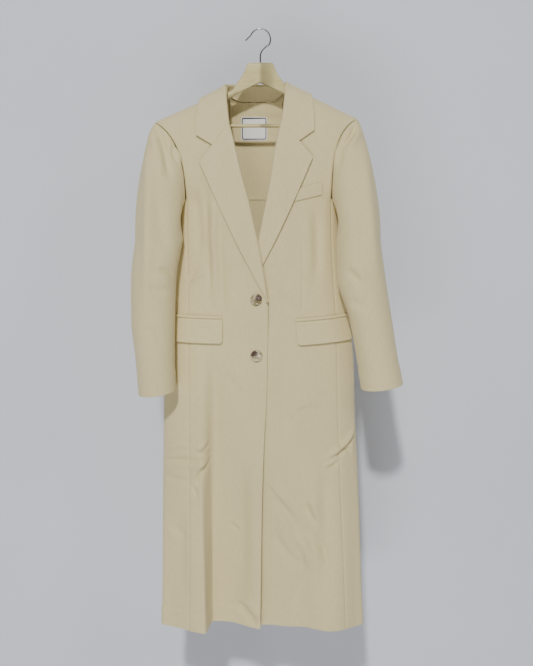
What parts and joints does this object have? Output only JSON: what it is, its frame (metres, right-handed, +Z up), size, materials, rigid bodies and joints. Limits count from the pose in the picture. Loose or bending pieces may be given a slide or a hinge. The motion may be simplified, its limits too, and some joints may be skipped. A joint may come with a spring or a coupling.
{
  "type": "single-breasted coat on a hanger",
  "caption": "Long single-breasted coat with notched lapels, flap pockets and a chest welt, buttoned and hung on a wooden hanger with a wire hook.",
  "frame": {"origin": "inside of the hook's crown, where the hanger rests on its rail", "axes": "+Z up along the hanger's hook, +X to the wearer's left (the viewer's right), -Y to the front of the coat"},
  "size_m": [0.5635, 0.1966, 1.2879],
  "materials": {
    "coat_cloth": "smooth, matte suiting in warm beige",
    "lining": "thin beige cloth of the inside back",
    "label_cloth": "off-white woven label, bare",
    "button_horn": "marbled horn-like resin, polished",
    "hanger_wood": "pale wood, satin lacquer",
    "hanger_metal": "bright plated wire"
  },
  "bodies": {
    "root": {"front_right": "coat_cloth", "front_left": "coat_cloth", "side_panel_right": "coat_cloth", "side_panel_left": "coat_cloth", "back_right": "coat_cloth", "back_left": "coat_cloth", "sleeve_top_right": "coat_cloth", "sleeve_top_left": "coat_cloth", "sleeve_under_right": "coat_cloth", "sleeve_under_left": "coat_cloth", "lapel_right": "coat_cloth", "lapel_left": "coat_cloth", "collar_fall": "coat_cloth", "collar_stand": "coat_cloth", "pocket_flap_right": "coat_cloth", "pocket_flap_left": "coat_cloth", "pocket_lip_right": "coat_cloth", "pocket_lip_left": "coat_cloth", "chest_welt": "coat_cloth", "hang_loop": "coat_cloth", "back_facing": "lining", "back_lining": "lining", "neck_label": "label_cloth", "button_upper": "button_horn", "button_lower": "button_horn", "hanger_body": "hanger_wood", "hanger_bar": "hanger_wood", "hanger_hook": "hanger_metal"}
  },
  "joints": []
}
